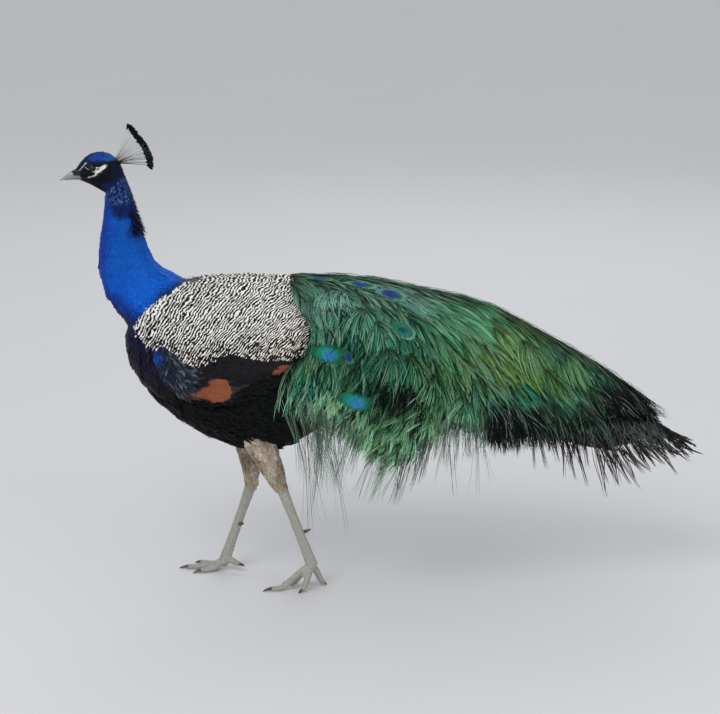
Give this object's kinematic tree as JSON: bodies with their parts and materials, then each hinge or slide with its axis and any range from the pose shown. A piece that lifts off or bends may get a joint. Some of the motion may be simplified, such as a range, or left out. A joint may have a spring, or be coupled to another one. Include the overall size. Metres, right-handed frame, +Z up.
{
  "type": "indian peafowl cock model",
  "caption": "Life-size still model of an Indian peafowl cock in mid-stride, with a fan crest, barred shoulders and a part-grown green train.",
  "frame": {"origin": "on the floor, under the middle of the bird's bounding box", "axes": "+X from the bill towards the tip of the tail, +Y to the bird's right, +Z up"},
  "size_m": [1.1752, 0.2844, 0.871],
  "materials": {
    "crown_feathers": "short glossy blue feathers",
    "bare_skin": "matt white bare facial skin",
    "bill": "smooth grey horn",
    "eye": "wet dark brown",
    "crest_feathers": "bare pale shafts with dark blue-green tips",
    "neck_feathers": "glossy cobalt blue feathers",
    "body_feathers": "blackish breast and belly feathers",
    "barred_feathers": "buff-white feathers with fine wavy black bars",
    "flight_feathers": "blackish wing feathers with a blue sheen",
    "rust_feathers": "matt chestnut primaries",
    "train_feathers": "loose-barbed metallic green train coverts with eyespots",
    "tail_feathers": "blackish tail feathers",
    "thigh_feathers": "buff thigh feathers",
    "leg_scales": "grey-brown horny scales",
    "claw": "dark horn"
  },
  "bodies": {
    "root": {"head": "crown_feathers", "bill_upper": "bill", "bill_lower": "bill", "eye_left": "eye", "eye_right": "eye", "crest": "crest_feathers", "neck_upper": "neck_feathers", "neck_middle": "neck_feathers", "neck_lower": "neck_feathers", "trunk": "body_feathers", "wing_left_shoulder": "barred_feathers", "wing_left_secondaries": "flight_feathers", "wing_left_primaries": "rust_feathers", "wing_right_shoulder": "barred_feathers", "wing_right_secondaries": "flight_feathers", "wing_right_primaries": "rust_feathers", "train_crown_front": "train_feathers", "train_left_front": "train_feathers", "train_right_front": "train_feathers", "train_crown_middle": "train_feathers", "train_left_middle": "train_feathers", "train_right_middle": "train_feathers", "train_crown_rear": "train_feathers", "train_left_rear": "train_feathers", "train_right_rear": "train_feathers", "tail_feather_1": "tail_feathers", "tail_feather_2": "tail_feathers", "tail_feather_3": "tail_feathers", "tail_feather_4": "tail_feathers", "tail_feather_5": "tail_feathers", "tail_feather_6": "tail_feathers", "tail_feather_7": "tail_feathers", "tail_feather_8": "tail_feathers", "tail_feather_9": "tail_feathers", "thigh_left": "thigh_feathers", "shank_left": "leg_scales", "spur_left": "claw", "toe_left_middle": "leg_scales", "claw_left_middle": "claw", "toe_left_outer": "leg_scales", "claw_left_outer": "claw", "toe_left_inner": "leg_scales", "claw_left_inner": "claw", "toe_left_hind": "leg_scales", "claw_left_hind": "claw", "thigh_right": "thigh_feathers", "shank_right": "leg_scales", "spur_right": "claw", "toe_right_middle": "leg_scales", "claw_right_middle": "claw", "toe_right_outer": "leg_scales", "claw_right_outer": "claw", "toe_right_inner": "leg_scales", "claw_right_inner": "claw", "toe_right_hind": "leg_scales", "claw_right_hind": "claw"}
  },
  "joints": []
}
